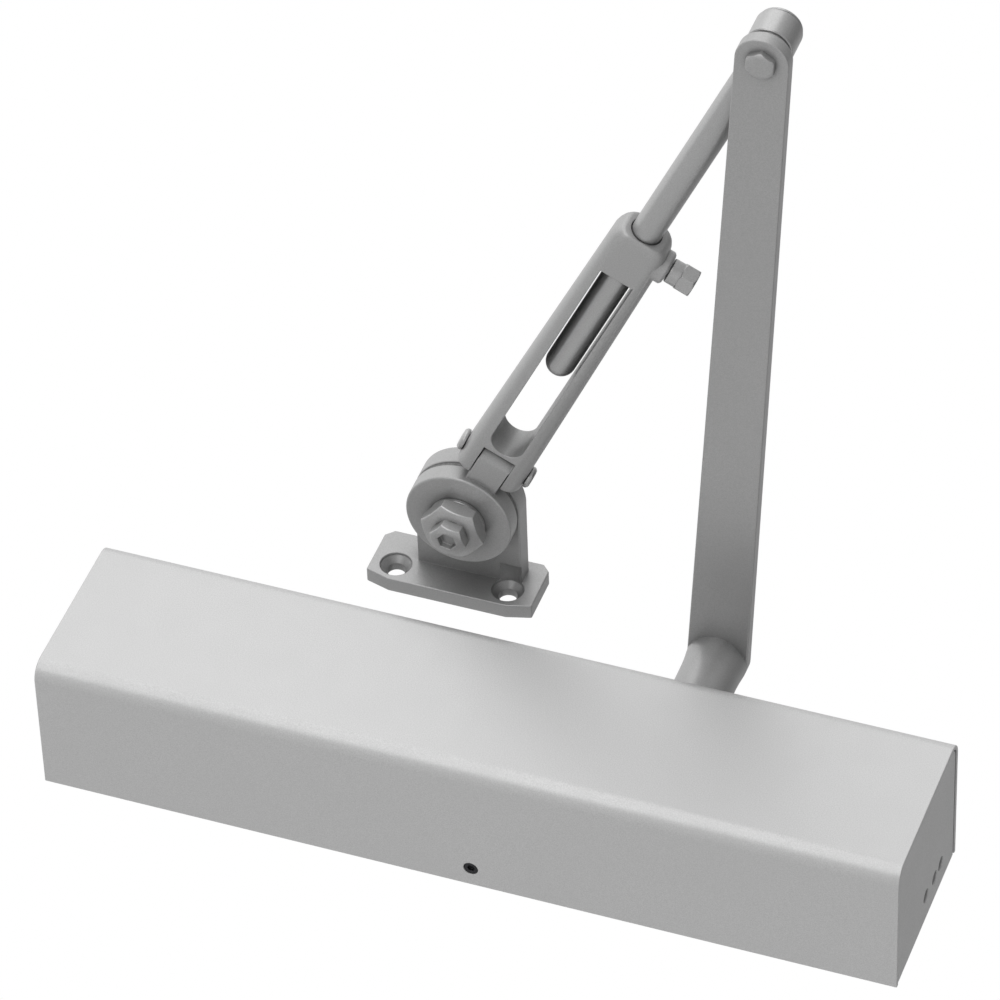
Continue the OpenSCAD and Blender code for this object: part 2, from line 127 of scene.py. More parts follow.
# Light from all round: a level, its slope over directions, and a dark card to the upper right
SKY_LEVEL = 0.64
SKY_SLOPE = (-0.36, -0.28, 0.17)
CARD_DIRECTION = (0.755, -0.302, 0.584)
CARD_RIM, CARD_CORE = 0.58, 0.88
CARD_DEPTH = 0.29

# Name, place, diameter and power of each lamp, all in metres and watts
LAMPS = (
    ("key", (-0.7, -1.9, 1.5), 2.2, 4.5),
    ("front", (-0.4, -2.3, -0.2), 1.6, 4.5),
    ("low_front", (-0.5, -1.9, -1.3), 1.4, 6.2),
)
LAMP_AIM = Vector((0, -0.1, 0.03))


# ---------------------------------------------------------------- camera and light


def view_axes(azimuth, elevation, roll):
    """Forward, right and up of a camera that looks along those angles and is rolled about its view."""
    a, e, turn = math.radians(azimuth), math.radians(elevation), math.radians(roll)
    forward = Vector((-math.sin(a) * math.cos(e), math.cos(a) * math.cos(e), -math.sin(e)))
    level = Vector((math.cos(a), math.sin(a), 0))
    above = level.cross(forward)
    right = level * math.cos(turn) + above * math.sin(turn)
    return forward, right, right.cross(forward)


def add_camera():
    forward, right, up = view_axes(VIEW_AZIMUTH, VIEW_ELEVATION, VIEW_ROLL)
    camera = bpy.data.objects.new("camera", bpy.data.cameras.new("camera"))
    camera.data.lens = LENS
    camera.data.clip_start, camera.data.clip_end = 0.05, 60
    turned = Matrix((right, up, -forward)).transposed().to_4x4()
    camera.matrix_world = Matrix.Translation(VIEW_AIM - forward * VIEW_DISTANCE) @ turned
    bpy.context.scene.collection.objects.link(camera)
    bpy.context.scene.camera = camera


def add_lamps():
    for name, place, size, power in LAMPS:
        light = bpy.data.lights.new(name, "AREA")
        light.shape, light.size, light.energy = "DISK", size, power
        lamp = bpy.data.objects.new(name, light)
        lamp.location = place
        lamp.rotation_mode = "QUATERNION"
        lamp.rotation_quaternion = (LAMP_AIM - lamp.location).to_track_quat("-Z", "Y")
        bpy.context.scene.collection.objects.link(lamp)


class Nodes:
    """Short ways to put nodes into a tree."""

    def __init__(self, tree):
        self.tree = tree

    def add(self, kind, **settings):
        node = self.tree.nodes.new(kind)
        for key, value in settings.items():
            setattr(node, key, value)
        return node

    def link(self, a, b):
        self.tree.links.new(a, b)

    def fill(self, socket, value):
        """Links a socket to another, or gives it a constant."""
        if isinstance(value, bpy.types.NodeSocket):
            self.link(value, socket)
        else:
            socket.default_value = value

    def math(self, operation, a, b):
        node = self.add("ShaderNodeMath", operation=operation)
        self.fill(node.inputs[0], a)
        self.fill(node.inputs[1], b)
        return node.outputs[0]

    def dot(self, a, b):
        node = self.add("ShaderNodeVectorMath", operation="DOT_PRODUCT")
        self.fill(node.inputs[0], a)
        self.fill(node.inputs[1], b)
        return node.outputs["Value"]

    def between(self, value, low, high, start=0.3, end=0.7):
        """Maps the part of a pattern from start to end onto a range of values."""
        fit = self.add("ShaderNodeMapRange")
        for socket, number in (("From Min", start), ("From Max", end), ("To Min", low), ("To Max", high)):
            fit.inputs[socket].default_value = number
        self.link(value, fit.inputs["Value"])
        return fit.outputs[0]


def add_world():
    """Soft light, brighter in front and to the left. The camera itself sees plain white behind the object."""
    world = bpy.data.worlds.new("studio")
    world.use_nodes = True
    sky = Nodes(world.node_tree)
    sky.tree.nodes.clear()
    direction = sky.add("ShaderNodeTexCoord").outputs["Generated"]
    level = sky.math("ADD", sky.dot(direction, SKY_SLOPE), SKY_LEVEL)
    card = sky.between(sky.dot(direction, CARD_DIRECTION), 0.0, CARD_DEPTH, CARD_RIM, CARD_CORE)
    soft = sky.add("ShaderNodeBackground")
    white = sky.add("ShaderNodeBackground")
    for ground in (soft, white):
        ground.inputs["Color"].default_value = (1, 1, 1, 1)
    sky.link(sky.math("SUBTRACT", level, card), soft.inputs["Strength"])
    mix = sky.add("ShaderNodeMixShader")
    sky.link(sky.add("ShaderNodeLightPath").outputs["Is Camera Ray"], mix.inputs["Fac"])
    sky.link(soft.outputs[0], mix.inputs[1])
    sky.link(white.outputs[0], mix.inputs[2])
    sky.link(mix.outputs[0], sky.add("ShaderNodeOutputWorld").inputs["Surface"])
    bpy.context.scene.world = world


# ---------------------------------------------------------------- materials


class Shader(Nodes):
    """A node material under construction. Its patterns lie in the model's own coordinates."""

    def __init__(self, name, colour, metallic, roughness):
        self.material = bpy.data.materials.new(name)
        self.material.use_nodes = True
        super().__init__(self.material.node_tree)
        self.bsdf = self.tree.nodes["Principled BSDF"]
        self.bsdf.inputs["Base Color"].default_value = (*colour, 1)
        self.bsdf.inputs["Metallic"].default_value = metallic
        self.bsdf.inputs["Roughness"].default_value = roughness
        self.place = self.add("ShaderNodeTexCoord").outputs["Object"]

    def noise(self, scale, detail=2.0, stretch=(1, 1, 1)):
        """A grey pattern with about that many bumps to the metre, longer along axes with a small stretch."""
        fit = self.add("ShaderNodeMapping")
        fit.inputs["Scale"].default_value = stretch
        self.link(self.place, fit.inputs["Vector"])
        pattern = self.add("ShaderNodeTexNoise")
        pattern.inputs["Scale"].default_value = scale
        pattern.inputs["Detail"].default_value = detail
        self.link(fit.outputs[0], pattern.inputs["Vector"])
        return pattern.outputs["Fac"]

    def blend(self, factor, a, b):
        """Colour a where factor is 0 and b where it is 1. Each is a colour or a socket."""
        mix = self.add("ShaderNodeMix", data_type="RGBA")
        self.link(factor, mix.inputs[0])
        for socket, value in ((mix.inputs[6], a), (mix.inputs[7], b)):
            self.fill(socket, value if isinstance(value, bpy.types.NodeSocket) else (*value, 1))
        return mix.outputs[2]

    def product(self, a, b):
        return self.math("MULTIPLY", a, b)

    def edges(self, radius):
        """0 on flat areas, rising to 1 on sharp edges, and the rounded normal that shows them."""
        rounded = self.add("ShaderNodeBevel", samples=6)
        rounded.inputs["Radius"].default_value = radius * MM
        plain = self.add("ShaderNodeNewGeometry").outputs["Normal"]
        same = self.dot(rounded.outputs[0], plain)
        return self.between(same, 1, 0, 0.86, 0.995), rounded.outputs[0]

    def corners(self, reach):
        """0 on open surfaces, rising to 1 deep in corners and gaps."""
        near = self.add("ShaderNodeAmbientOcclusion", samples=8)
        near.inputs["Distance"].default_value = reach * MM
        return self.between(near.outputs["AO"], 1, 0, 0.3, 0.92)

    def bump(self, height, depth, normal=None):
        node = self.add("ShaderNodeBump")
        node.inputs["Distance"].default_value = depth * MM
        self.link(height, node.inputs["Height"])
        if normal is not None:
            self.link(normal, node.inputs["Normal"])
        return node.outputs[0]

    def set(self, socket, value):
        self.link(value, self.bsdf.inputs[socket])


def scaled(colour, factor):
    return tuple(min(1.0, c * factor) for c in colour)


def sprayed_paint(name, colour, metallic, roughness, edge=0.35, grain=0.012, painted_shade_range=(0.62, 0.85)):
    """Satin silver lacquer: flakes, faint mottling and orange peel, painted shade in corners and gaps, thin on the
    edges.

    edge is the radius of worn edges and grain the height of the flakes. The last argument is how far the painted
    shade darkens the corners, from the lightest to the darkest patches.
    """
    s = Shader(name, colour, metallic, roughness)
    flakes = s.noise(2600, 1.5)
    mottle = s.noise(26, 3)
    peel = s.noise(420, 2)
    shade = s.blend(s.between(flakes, 0, 1), scaled(colour, 0.9), scaled(colour, 1.1))
    shade = s.blend(s.between(mottle, 0, 0.3), shade, scaled(colour, 0.95))
    # Painted shade: where ambient occlusion finds corners and gaps, the colour darkens towards a quarter of
    # itself, patchy with the mottling
    painted_shade = s.product(s.corners(18), s.between(mottle, *painted_shade_range))
    shade = s.blend(painted_shade, shade, scaled(colour, 0.25))
    on_edge, rounded = s.edges(edge)
    worn = s.product(on_edge, s.between(s.noise(130, 4), 0, 0.55, 0.42, 0.72))
    s.set("Base Color", s.blend(worn, shade, scaled(colour, 1.07)))
    s.set("Roughness", s.between(s.noise(90, 4), roughness - 0.02, roughness + 0.02))
    fine = s.bump(flakes, grain, rounded)
    s.set("Normal", s.bump(peel, 0.03, fine))
    return s.material


def turned_steel(name, colour, roughness):
    """Bare machined metal with fine turning marks and darker, oilier patches."""
    s = Shader(name, colour, 1.0, roughness)
    marks = s.noise(900, 2, (1, 1, 9))
    oil = s.noise(60, 4)
    on_edge, rounded = s.edges(0.25)
    shade = s.blend(s.between(oil, 0, 1), scaled(colour, 1.05), scaled(colour, 0.72))
    s.set("Base Color", s.blend(on_edge, shade, scaled(colour, 1.12)))
    s.set("Roughness", s.between(oil, roughness - 0.08, roughness + 0.12))
    s.set("Normal", s.bump(marks, 0.01, rounded))
    return s.material


def cast_metal(name, colour):
    """Sand-cast body: coarse skin, small pits and rounded edges."""
    s = Shader(name, colour, 0.35, 0.6)
    grain = s.noise(750, 5)
    patch = s.noise(35, 5)
    on_edge, rounded = s.edges(1.2)
    shade = s.blend(s.between(grain, 0, 1), scaled(colour, 0.82), scaled(colour, 1.14))
    shade = s.blend(s.between(patch, 0, 0.5), shade, scaled(colour, 0.78))
    s.set("Base Color", s.blend(s.product(on_edge, s.between(patch, 0.2, 0.7)), shade, scaled(colour, 1.25)))
    s.set("Roughness", s.between(grain, 0.5, 0.72))
    s.set("Normal", s.bump(grain, 0.12, rounded))
    return s.material


def dull_matter(name, colour, roughness, grain_size):
    """Rubber or friction lining: matt, speckled and slightly rough."""
    s = Shader(name, colour, 0.0, roughness)
    speckle = s.noise(grain_size, 3)
    s.set("Base Color", s.blend(s.between(speckle, 0, 1), scaled(colour, 0.75), scaled(colour, 1.35)))
    s.set("Roughness", s.between(speckle, roughness - 0.06, roughness + 0.06))
    s.set("Normal", s.bump(speckle, 0.04))
    return s.material


SILVER = (0.61, 0.61, 0.61)
ARM_SILVER = (0.44, 0.44, 0.44)
MATERIALS = {
    "cover_paint": sprayed_paint("cover_paint", SILVER, 0.5, 0.43),
    "arm_paint": sprayed_paint("arm_paint", ARM_SILVER, 0.45, 0.36),
    "hardware": sprayed_paint("hardware", scaled(ARM_SILVER, 1.12), 0.75, 0.3, edge=0.3, grain=0.005,
                              painted_shade_range=(0.3, 0.45)),
    "casting": cast_metal("casting", (0.42, 0.43, 0.44)),
    "machined_steel": turned_steel("machined_steel", (0.56, 0.56, 0.57), 0.3),
    "spring_steel": turned_steel("spring_steel", (0.2, 0.21, 0.24), 0.36),
    "seal_rubber": dull_matter("seal_rubber", (0.02, 0.02, 0.021), 0.62, 1500),
    "valve_brass": turned_steel("valve_brass", (0.66, 0.48, 0.2), 0.3),
    "friction_lining": dull_matter("friction_lining", (0.17, 0.17, 0.17), 0.75, 900),
    "dark_screw": turned_steel("dark_screw", (0.06, 0.06, 0.065), 0.42),
}


# ---------------------------------------------------------------- mesh helpers


def box_mm(node):
    low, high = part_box(node)
    return low / MM, high / MM


def joint_mm(name):
    return Vector(JOINTS[name]["pos_m"]) / MM


def arc(centre, radius, start, end, steps=10):
    """Points on an arc between two angles in degrees, both ends included."""
    angles = [math.radians(start + (end - start) * k / steps) for k in range(steps + 1)]
    return [(centre[0] + radius * math.cos(a), centre[1] + radius * math.sin(a)) for a in angles]


def circle(radius, count=ROUND):
    return arc((0, 0), radius, 0, 360 - 360 / count, count - 1)


def polygon(across, sides=6, turn=0.0):
    """A regular polygon given across its flats."""
    corner = across / 2 / math.cos(math.pi / sides)
    return [(corner * math.cos(a), corner * math.sin(a))
            for a in (math.radians(turn) + 2 * math.pi * k / sides for k in range(sides))]


def soften(points, radius, steps=4):
    """Rounds every corner of a closed outline. A corner on the axis of revolution keeps its place."""
    made = []
    count = len(points)
    for i, point in enumerate(points):
        p = Vector(point)
        before = Vector(points[i - 1]) - p
        after = Vector(points[(i + 1) % count]) - p
        if min(before.length, after.length) < 1e-6 or abs(before.normalized().dot(after.normalized())) > 0.94:
            made.append(tuple(p))
            continue
        reach = min(radius, 0.48 * before.length, 0.48 * after.length)
        a, b = p + before.normalized() * reach, p + after.normalized() * reach
        for k in range(steps + 1):
            t = k / steps
            made.append(tuple(a * (1 - t) ** 2 + p * 2 * t * (1 - t) + b * t * t))
    return made


def prism(outline, z0, z1):
    """A closed block with the given outline in X and Y."""
    bm = bmesh.new()
    lower = [bm.verts.new((x, y, z0)) for x, y in outline]
    upper = [bm.verts.new((x, y, z1)) for x, y in outline]
    bm.faces.new(lower[::-1])
    bm.faces.new(upper)
    count = len(outline)
    for i in range(count):
        j = (i + 1) % count
        bm.faces.new((lower[i], lower[j], upper[j], upper[i]))
    bmesh.ops.recalc_face_normals(bm, faces=bm.faces)
    return bm


def lathe(section, segments=ROUND):
    """A closed solid turned about Z, from the (radius, z) points round its section."""
    bm = bmesh.new()
    rings = []
    for radius, z in section:
        if radius < 1e-6:
            rings.append([bm.verts.new((0, 0, z))])
        else:
            rings.append([bm.verts.new((x, y, z)) for x, y in circle(radius, segments)])
    for a, b in zip(rings, rings[1:] + rings[:1]):
        if len(a) == 1 and len(b) == 1:
            continue
        for k in range(segments):
            corners = [a[k % len(a)], a[(k + 1) % len(a)], b[(k + 1) % len(b)], b[k % len(b)]]
            bm.faces.new(list(dict.fromkeys(corners)))
    bmesh.ops.recalc_face_normals(bm, faces=bm.faces)
    return bm


def eased(bm, radius):
    """Rounds the sharp edges of a simple solid before it's combined with others."""
    sharp = [e for e in bm.edges if e.calc_face_angle(0) > EASED_FROM]
    bmesh.ops.bevel(bm, geom=sharp, offset=radius, offset_type="OFFSET", segments=3, profile=0.5,
                    affect="EDGES", clamp_overlap=True)
    return bm


def rod(radius, z0, z1, segments=ROUND):
    """A plain round bar, used as a cutter or joined to something else."""
    return prism(circle(radius, segments), z0, z1)


def loft(rings):
    """A closed skin over rings of 3-D points that all have the same count."""
    bm = bmesh.new()
    made = [[bm.verts.new(p) for p in ring] for ring in rings]
    bm.faces.new(made[0][::-1])
    bm.faces.new(made[-1])
    count = len(made[0])
    for a, b in zip(made, made[1:]):
        for i in range(count):
            j = (i + 1) % count
            bm.faces.new((a[i], a[j], b[j], b[i]))
    bmesh.ops.recalc_face_normals(bm, faces=bm.faces)
    return bm


def moved(bm, matrix):
    bm.transform(matrix)
    return bm


def swapped(x, y, z):
    """The rotation that sends local X, Y and Z to three given axes."""
    return Matrix((Vector(x), Vector(y), Vector(z))).transposed().to_4x4()


ALONG_X = swapped((0, 1, 0), (0, 0, 1), (1, 0, 0))
ALONG_Y = swapped((0, 0, 1), (1, 0, 0), (0, 1, 0))


def at(x=0, y=0, z=0):
    return Matrix.Translation((x, y, z))


def temporary(bm):
    mesh = bpy.data.meshes.new("temporary")
    bm.to_mesh(mesh)
    bm.free()
    obj = bpy.data.objects.new("temporary", mesh)
    bpy.context.scene.collection.objects.link(obj)
    return obj


def combined(base, joined=(), removed=(), common=()):
    """Adds solids, keeps what is common and cuts solids away, in that order, and returns the result."""
    steps = [("UNION", b) for b in joined] + [("INTERSECT", b) for b in common]
    steps += [("DIFFERENCE", b) for b in removed]
    body = temporary(base)
    tools = []
    for how, bm in steps:
        tools.append(temporary(bm))
        step = body.modifiers.new("step", "BOOLEAN")
        step.operation, step.object, step.solver = how, tools[-1], "EXACT"
    made = bmesh.new()
    made.from_mesh(body.evaluated_get(bpy.context.evaluated_depsgraph_get()).to_mesh())
    for obj in [body] + tools:
        mesh = obj.data
        bpy.data.objects.remove(obj)
        bpy.data.meshes.remove(mesh)
    bmesh.ops.remove_doubles(made, verts=made.verts, dist=WELD)
    bmesh.ops.dissolve_degenerate(made, edges=made.edges, dist=WELD)
    return made


def add_piece(name, bm, body, nodes, slot, edge=0.0, turned=Matrix.Identity(4)):
    """Makes an object that stands for CAD nodes, gives it its finish and lets it ride on a CAD body.

    edge is the radius that its edges are rounded to. At 0 the shape is complete as it is.
    """
    bm.transform(Matrix.Scale(MM, 4) @ turned)
    bmesh.ops.recalc_face_normals(bm, faces=bm.faces)
    mesh = bpy.data.meshes.new(name)
    bm.to_mesh(mesh)
    bm.free()
    mesh.polygons.foreach_set("use_smooth", [True] * len(mesh.polygons))
    obj = bpy.data.objects.new(name, mesh)
    bpy.context.scene.collection.objects.link(obj)
    mesh.materials.append(MATERIALS[slot])
    if edge:
        bevel = obj.modifiers.new("edges", "BEVEL")
        bevel.width, bevel.segments = edge * MM, 2
        bevel.limit_method, bevel.angle_limit = "ANGLE", BEVELLED_FROM
        bevel.harden_normals, bevel.use_clamp_overlap = True, False
    else:
        mesh.set_sharp_from_angle(angle=SHARP_FROM)
        flat = obj.modifiers.new("flat_faces", "WEIGHTED_NORMAL")
        flat.keep_sharp = True
    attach(obj, body)
    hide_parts(*nodes)
    return obj


# ---------------------------------------------------------------- places

PINION = joint_mm("pinion_turn")
ELBOW = joint_mm("elbow")
SHOE = joint_mm("hold_open_pivot")
FORE = -Vector(JOINTS["forearm_length"]["axis"]).normalized()
ARM_DIRECTION = (ELBOW.xy - PINION.xy).to_3d().normalized()
UP = Vector((0, 0, 1))
# Local X runs along the part, local Z stays up
ALONG_ARM = at(PINION.x, PINION.y) @ swapped(ARM_DIRECTION, UP.cross(ARM_DIRECTION), UP)
ALONG_FOREARM = at(SHOE.x, SHOE.y) @ swapped(FORE, UP.cross(FORE), UP)
ARM_LENGTH = (ELBOW.xy - PINION.xy).length
FOREARM_LENGTH = (ELBOW.xy - SHOE.xy).length
ROD_Z = ELBOW.z
# Places along the forearm, on the rod's line
AT_ROD = at(0, 0, ROD_Z)
AT_TILT_PIN = at(TILT_PIN_AT, 0, ROD_Z)
AT_CLAMP = at(CLAMP_AT, 0, ROD_Z)
AT_PINION = at(PINION.x, PINION.y)
AT_SHOE = at(SHOE.x, SHOE.y)


# ---------------------------------------------------------------- cover


def cover_outline(depth, half, r):
    """From the door face along the lower side, round both bends and back, in Y and Z."""
    return ([(0, -half)] + arc((-depth + r, -half + r), r, -90, -180)
            + arc((-depth + r, half - r), r, 180, 90) + [(0, half)])


def build_cover():
    low, high = box_mm("cover")
    depth, half = -low.y, high.z
    inside = cover_outline(depth - SHEET, half - SHEET, COVER_BEND - SHEET)
    section = cover_outline(depth, half, COVER_BEND) + inside[::-1]
    shell = moved(prism(section, low.x, high.x), ALONG_X)
    past = 2
    slot = arc((0, PINION.y), SPINDLE_SLOT_R, 180, 360, 24)
    slot = [(-SPINDLE_SLOT_R, past)] + slot + [(SPINDLE_SLOT_R, past)]
    slot = moved(prism(slot, half - 2 * past, half + past), at(PINION.x))
    screw_low, screw_high = box_mm("cover_screws")
    screw_at = (screw_low + screw_high) / 2
    hole = moved(rod(COVER_HOLE_R, low.z - past, high.z + past, 40), at(screw_at.x, screw_at.y))
    add_piece("cover_shell", combined(shell, removed=[slot, hole]), "housing", ["cover"], "cover_paint", 0.3)


def build_cover_ends():
    low, high = box_mm("cover")
    inset = SHEET + END_SEAM
    outline = cover_outline(-low.y - inset, high.z - inset, COVER_BEND - inset)
    for node in ("left_cover_end", "right_cover_end"):
        end_low, end_high = box_mm(node)
        plate = moved(prism(outline, end_low.x, end_high.x), ALONG_X)
        if node == "right_cover_end":
            places = [joint_mm(valve + "_turn") for valve in VALVES]
            plate = combined(plate, removed=[
                moved(rod(COVER_HOLE_R, end_low.x - 1, end_high.x + 1, 40), at(0, place.y, place.z) @ ALONG_X)
                for place in places])
        add_piece(node + "_plate", plate, "housing", [node], "cover_paint", 0.35)


# ---------------------------------------------------------------- main arm and elbow


def build_main_arm():
    low, high = box_mm("main_arm")
    bar_low = box_mm("elbow_bolt")[0].z + ELBOW_HEAD
    lean = math.degrees(math.asin((HUB_R - ELBOW_R) / ARM_LENGTH))
    outline = arc((0, 0), HUB_R, 90 - lean, 270 + lean, 40)
    outline += arc((ARM_LENGTH, 0), ELBOW_R, -90 + lean, 90 - lean, 40)
    bar = eased(prism(outline, bar_low, high.z), 0.5)
    cone_r = HUB_R - 0.04
    hub = lathe([
        (0, low.z), (HUB_NECK_R - 0.5, low.z), (HUB_NECK_R, low.z + 0.5), (HUB_NECK_R, bar_low - HUB_CONE_H),
        (HUB_NECK_R + 0.2, bar_low - 4.5), (cone_r, bar_low - 0.6), (cone_r, bar_low + 1), (0, bar_low + 1)])
    square = prism(polygon(SPINDLE_SQUARE, 4, 45), low.z - 1, low.z + SPINDLE_DEPTH)
    screw_bore = rod(3.4, low.z, high.z + 1, 48)
    pin_bore = moved(rod(ELBOW_PIN_R + PIN_GAP, bar_low - 1, high.z + 1, 48), at(ARM_LENGTH))
    arm = combined(bar, joined=[hub], removed=[square, screw_bore, pin_bore])
    add_piece("main_arm_forging", arm, "arm", ["main_arm"], "arm_paint", 0, ALONG_ARM)


def build_arm_screw():
    low, high = box_mm("arm_washer")
    bore_r, washer_r = 3.2, 7.5
    washer = lathe(soften([(bore_r, low.z), (washer_r, low.z), (washer_r, high.z), (bore_r, high.z)], 0.35))
    add_piece("arm_screw_washer", washer, "arm", ["arm_washer"], "machined_steel", 0, AT_PINION)
    low, high = box_mm("arm_screw")
    head_low, crown_r = high.z - 4.6, 7
    head = prism(polygon(10), head_low, high.z)
    crown = lathe([(0, head_low - 1), (crown_r, head_low - 1), (crown_r, high.z - 1.3),
                   (4.7, high.z + SPARE), (0, high.z + SPARE)])
    shank = rod(3.0, low.z, head_low + 1, 48)
    key_hole = prism(polygon(5), high.z - 2.2, high.z + 1)
    screw = combined(head, common=[crown])
    screw = combined(screw, joined=[shank], removed=[key_hole])
    add_piece("arm_hex_screw", screw, "arm", ["arm_screw"], "machined_steel", 0.18, AT_PINION)


def build_elbow():
    low, high = box_mm("elbow_bolt")
    bar_low = low.z + ELBOW_HEAD
    head_low = low.z - SPARE
    head = prism(soften(polygon(9.5), 1.0, 3), low.z, bar_low + 0.5)
    dome = lathe([(0, head_low), (3.3, head_low), (4.5, low.z + 0.25), (5.7, low.z + 1.5),
                  (5.7, bar_low + 2), (0, bar_low + 2)])
    shank = rod(ELBOW_PIN_R, bar_low - 0.5, high.z, 48)
    bolt = combined(head, common=[dome])
    bolt = combined(bolt, joined=[shank])
    add_piece("elbow_hex_bolt", bolt, "arm", ["elbow_bolt"], "arm_paint", 0, ALONG_ARM @ at(ARM_LENGTH))
    low, high = box_mm("elbow_cap")
    r = (high.x - low.x) / 2
    top = high.z
    pin_seat = low.z + 0.6
    cap = lathe([
        (0, top - 0.2), (r - 2.4, top - 0.2), (r - 2.0, top), (r - 0.4, top), (r, top - 0.4), (r, low.z),
        (ELBOW_PIN_R, low.z), (ELBOW_PIN_R, pin_seat), (0, pin_seat)])
    add_piece("elbow_end_cap", cap, "arm", ["elbow_cap"], "hardware", 0, at(ELBOW.x, ELBOW.y))


# ---------------------------------------------------------------- forearm


def build_forearm_rod():
    z0, z1 = ROD_Z - KNUCKLE_BELOW_ROD, box_mm("forearm_rod")[1].z
    bore_r = ELBOW_PIN_R + PIN_GAP
    groove_r, groove_top = KNUCKLE_R - 1.1, z0 + 2.1
    knuckle = lathe([
        (bore_r, z0), (groove_r, z0), (groove_r, groove_top), (KNUCKLE_R - 0.4, groove_top),
        (KNUCKLE_R, groove_top + 0.4), (KNUCKLE_R, z1 - 0.5), (KNUCKLE_R - 0.5, z1), (bore_r, z1)])
    neck = FOREARM_LENGTH - KNUCKLE_R
    fillet_r = ROD_R + 0.12
    nose = arc((ROD_START + ROD_R, 0), ROD_R, 180, 90, 9)
    section = [(y, s) for s, y in nose[:-1]]
    section += [(ROD_R, ROD_START + ROD_R), (ROD_R, neck - 7), (fillet_r, neck - 3), (fillet_r, neck + 2),
                (0, neck + 2)]
    bar = moved(lathe(section, 64), AT_ROD @ ALONG_X)
    made = combined(moved(knuckle, at(FOREARM_LENGTH)), joined=[bar])
    add_piece("forearm_round_rod", made, "rod", ["forearm_rod"], "hardware", 0, ALONG_FOREARM)


def rounded_section(s, width, height, r):
    """A ring of points across the socket at the distance s from the shoe pivot."""
    ring = []
    for cx, cy, start in ((1, 1, 0), (-1, 1, 90), (-1, -1, 180), (1, -1, 270)):
        ring += arc((cx * (width / 2 - r), cy * (height / 2 - r)), r, start, start + 90, 8)
    return [(s, y, ROD_Z + z) for y, z in ring]


def build_socket():
    s0, s1 = SOCKET_START, SOCKET_END
    corner = 5.0
    # Places along the socket, and how far the skin pinches in there
    stations = [
        (s0, 1.0), (s0 + 0.4, 0.35), (s0 + 1.2, 0.0), (s1 - 5.5, 0.0), (s1 - 3.4, 0.5), (s1 - 1.8, 1.3),
        (s1 - 0.7, 2.4), (s1 - 0.15, 3.4), (s1, 4.4)]
    rings = []
    for s, pinch in stations:
        width = SOCKET_START_W + (SOCKET_END_W - SOCKET_START_W) * (s - s0) / (s1 - s0)
        rings.append(rounded_section(s, width - 1.6 * pinch, SOCKET_H - 0.5 * pinch, corner - 0.3 * pinch))
    body = loft(rings)
    boss_r, boss_end = 6, 13
    boss = lathe([(0, 0), (boss_r, 0), (boss_r, boss_end - 0.8), (boss_r - 0.8, boss_end), (0, boss_end)])
    boss = moved(boss, AT_CLAMP @ swapped((1, 0, 0), (0, 0, -1), (0, 1, 0)))
    low, high = ROD_Z - CUTTER_REACH, ROD_Z + CUTTER_REACH
    half = SOCKET_SLOT_W / 2
    slot_start, slot_end, mouth_end = 38.0, 139.0, 36.4
    curve = arc((slot_start + half, 0), half, 90, 270, 24)
    slot = prism(curve + [(slot_end, -half), (slot_end, half)], low, high)
    mouth = prism([(0, -half), (mouth_end, -half), (mouth_end, half), (0, half)], low, high)
    bore = moved(rod(ROD_R + 0.2, slot_start + 30, s1 + 2, 64), AT_ROD @ ALONG_X)
    pin_bore = moved(rod(TILT_PIN_R, -CUTTER_REACH, CUTTER_REACH, 40), AT_TILT_PIN @ ALONG_Y)
    clamp_bore = moved(rod(CLAMP_R + PIN_GAP, 0, CUTTER_REACH, 40), AT_CLAMP @ ALONG_Y)
    made = combined(body, joined=[boss], removed=[bore, slot, mouth, pin_bore, clamp_bore])
    add_piece("forearm_fork", made, "socket", ["forearm_socket"], "arm_paint", 0.3, ALONG_FOREARM)


def build_tilt_pin():
    half, head_r = 12.35, 4
    section = [
        (0, -half - 2), (head_r - 0.8, -half - 2), (head_r, -half - 1.2), (head_r, -half),
        (TILT_PIN_R, -half), (TILT_PIN_R, half),
        (head_r, half), (head_r, half + 1.2), (head_r - 0.8, half + 2), (0, half + 2)]
    pin = moved(lathe(soften(section, 0.3, 3), 48), AT_TILT_PIN @ ALONG_Y)
    add_piece("tilt_rivet", pin, "socket", ["tilt_pin"], "hardware", 0, ALONG_FOREARM)


def build_clamp_screw():
    start, neck, head = 5.5, 17.35, 22.95
    collar, collar_r, head_r = neck - 4, 4.4, 5.6
    shank = lathe([
        (0, start), (CLAMP_R - 0.6, start), (CLAMP_R, start + 0.7), (CLAMP_R, collar),
        (collar_r - 0.3, collar), (collar_r, collar + 0.3), (collar_r, neck + 0.5), (0, neck + 0.5)], 48)
    block = prism(soften(polygon(9.3, 6, 15), 0.5, 2), neck, head)
    crown = lathe([
        (0, neck - 1), (4.7, neck - SPARE), (head_r, neck + 0.9), (head_r, head - 1.1), (4.5, head + SPARE),
        (0, head + SPARE)])
    made = combined(combined(block, common=[crown]), joined=[shank])
    made = moved(made, AT_CLAMP @ ALONG_Y)
    add_piece("clamp_set_screw", made, "clamp", ["clamp_screw"], "hardware", 0, ALONG_FOREARM)


# ---------------------------------------------------------------- hold-open shoe


